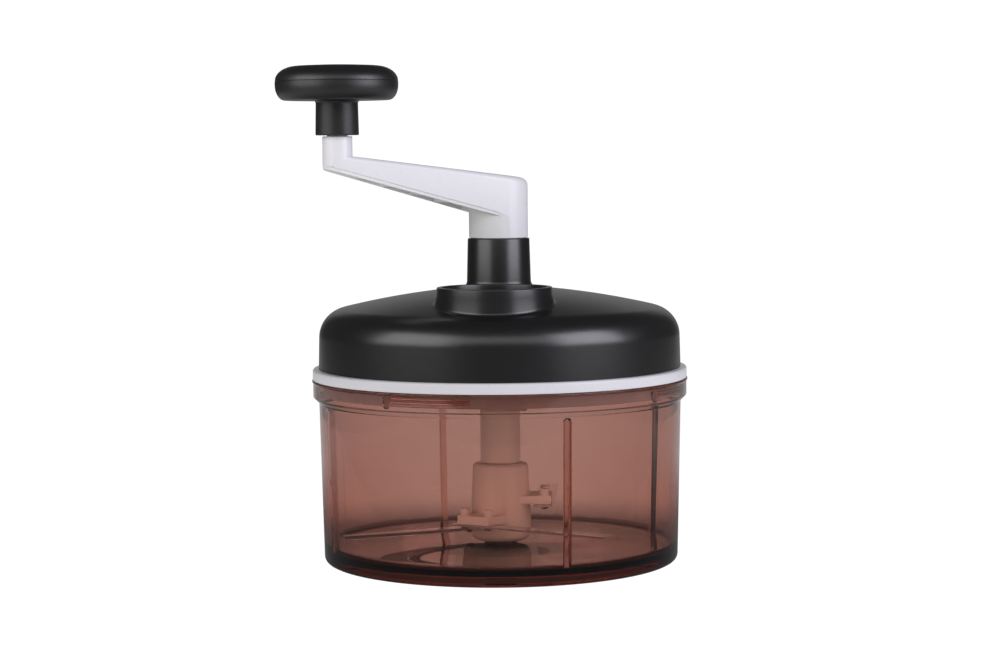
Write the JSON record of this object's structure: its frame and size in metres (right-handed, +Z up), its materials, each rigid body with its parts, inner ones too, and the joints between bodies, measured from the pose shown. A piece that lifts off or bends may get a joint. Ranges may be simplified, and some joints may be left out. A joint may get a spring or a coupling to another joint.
{
  "type": "hand crank food chopper",
  "caption": "Hand-crank food chopper: clear brown bowl with a pin-mounted blade unit, black domed lid with a round feed collar, and a crank with a spinning disc knob.",
  "frame": {"origin": "centre of the bowl's foot, on the table", "axes": "+Z up along the bowl's and the drive's axis; -Y towards the side the feed collar is on; +X to the right seen from there"},
  "size_m": [0.2005, 0.1872, 0.2459],
  "materials": {
    "clear_brown": "clear brown moulded plastic, polished",
    "black_plastic": "satin moulded plastic",
    "white_plastic": "satin moulded plastic",
    "cream_plastic": "satin moulded plastic",
    "bearing_plastic": "dry-running bearing plastic",
    "seal_rubber": "soft silicone",
    "steel": "stainless, brushed",
    "blade_steel": "stainless, ground"
  },
  "bodies": {
    "bowl": {"bowl": "clear_brown", "bowl_pin": "steel"},
    "lid": {"lid_base": "white_plastic", "lid_seal": "seal_rubber", "lid_cover": "black_plastic", "cover_screws": "steel", "neck_bush": "bearing_plastic", "base_bush": "bearing_plastic"},
    "crank": {"crank_shell": "white_plastic", "crank_insert": "white_plastic", "keeper_washer": "steel", "drive_tube": "cream_plastic", "drive_screw": "steel", "knob_washer": "steel", "knob_screw": "steel"},
    "knob": {"knob_body": "black_plastic", "knob_cap": "black_plastic"},
    "blade_unit": {"blade_hub": "cream_plastic", "blade_low": "blade_steel", "blade_mid": "blade_steel", "blade_top": "blade_steel", "blade_screws": "steel"}
  },
  "joints": [
    {"name": "lid_lift", "type": "slide", "parent": "bowl", "child": "lid", "axis": [0, 0, 1], "range_m": [0, 0.15]},
    {"name": "crank_turn", "type": "hinge", "parent": "lid", "child": "crank", "pos_m": [0, 0, 0.15], "axis": [0, 0, 1], "continuous": true},
    {"name": "knob_spin", "type": "hinge", "parent": "crank", "child": "knob", "pos_m": [-0.07722, -0.03601, 0.22], "axis": [0, 0, 1], "continuous": true},
    {"name": "blade_spin", "type": "hinge", "parent": "bowl", "child": "blade_unit", "pos_m": [0, 0, 0.02], "axis": [0, 0, 1], "continuous": true}
  ],
  "couplings": [
    {"joint": "blade_spin", "follows": "crank_turn", "ratio": 1}
  ]
}
